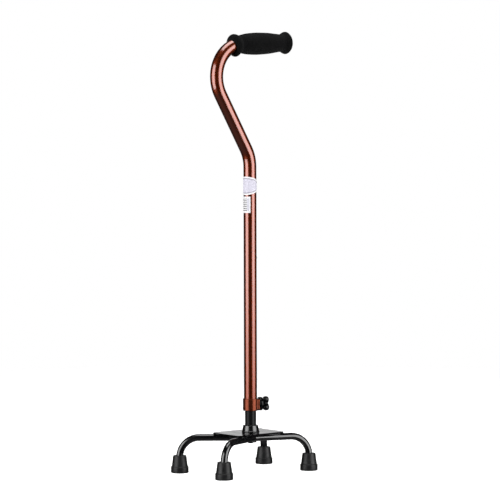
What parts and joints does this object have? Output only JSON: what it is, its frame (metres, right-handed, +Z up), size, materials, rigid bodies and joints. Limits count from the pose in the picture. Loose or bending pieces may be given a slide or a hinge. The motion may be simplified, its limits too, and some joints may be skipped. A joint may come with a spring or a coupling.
{
  "type": "quad walking cane",
  "caption": "Offset-handle walking cane on a wide base with rubber-tipped legs; telescopic shaft with a snap button and a clamping thumbscrew, foam grip.",
  "frame": {"origin": "on the floor, at the centre of the rectangle of the four rubber tips", "axes": "+X from the offset bend towards the free end of the grip, +Y towards the wide side of the base, +Z up"},
  "size_m": [0.2182, 0.1502, 0.7539],
  "materials": {
    "base_enamel": "gloss",
    "tip_rubber": "matte",
    "zinc_steel": "satin",
    "black_steel": "satin",
    "lower_tube_black": "satin",
    "boot_plastic": "gloss",
    "anchor_aluminium": "satin",
    "nylon": "satin",
    "spring_steel": "polished",
    "bronze_anodised": "satin",
    "collar_bronze": "satin",
    "foam": "matte",
    "black_plastic": "matte",
    "insert_brass": "satin",
    "label_film": "satin",
    "knob_plastic": "gloss"
  },
  "bodies": {
    "base": {"base_plate": "base_enamel", "leg_tube_outer": "base_enamel", "leg_tube_inner": "base_enamel", "foot_tip_outer_left": "tip_rubber", "foot_tip_outer_right": "tip_rubber", "foot_tip_inner_left": "tip_rubber", "foot_tip_inner_right": "tip_rubber", "tip_washer_outer_left": "zinc_steel", "tip_washer_outer_right": "zinc_steel", "tip_washer_inner_left": "zinc_steel", "tip_washer_inner_right": "zinc_steel", "base_bolt": "black_steel", "base_bolt_washer": "black_steel"},
    "lower_shaft": {"lower_tube": "lower_tube_black", "base_boot": "boot_plastic", "tube_anchor_plug": "anchor_aluminium", "anchor_rivet": "black_steel", "guide_cap": "nylon", "button_spring": "spring_steel"},
    "button": {"snap_button": "spring_steel"},
    "handle": {"upper_tube": "bronze_anodised", "foam_grip": "foam", "handle_tube_plug": "black_plastic", "collar": "collar_bronze", "collar_bush": "nylon", "boss_insert": "insert_brass", "shaft_label_upper": "label_film", "shaft_label_lower": "label_film"},
    "pad": {"screw_pad": "nylon"},
    "knob": {"thumb_knob": "knob_plastic", "screw_stud": "zinc_steel"}
  },
  "joints": [
    {"name": "base_swivel", "type": "hinge", "parent": "base", "child": "lower_shaft", "pos_m": [0, -0.0164, 0.0688], "axis": [0, 0, 1], "range_deg": [0, 180]},
    {"name": "button_press", "type": "slide", "parent": "lower_shaft", "child": "button", "axis": [-1, 0, 0], "range_m": [0, 0.005], "stiffness_N_per_m": 1200, "springref_m": -0.001, "deforming": ["button_spring"]},
    {"name": "height_adjust", "type": "slide", "parent": "lower_shaft", "child": "handle", "axis": [0, 0, 1], "range_m": [0, 0.2286]},
    {"name": "screw_travel", "type": "slide", "parent": "handle", "child": "pad", "axis": [0.9205, -0.3907, 0], "range_m": [0, 0.002]},
    {"name": "knob_turn", "type": "hinge", "parent": "pad", "child": "knob", "pos_m": [0, -0.0164, 0.1172], "axis": [0.9205, -0.3907, 0], "range_deg": [0, 720]}
  ],
  "couplings": [
    {"joint": "knob_turn", "follows": "screw_travel", "rad_per_m": 6283}
  ]
}
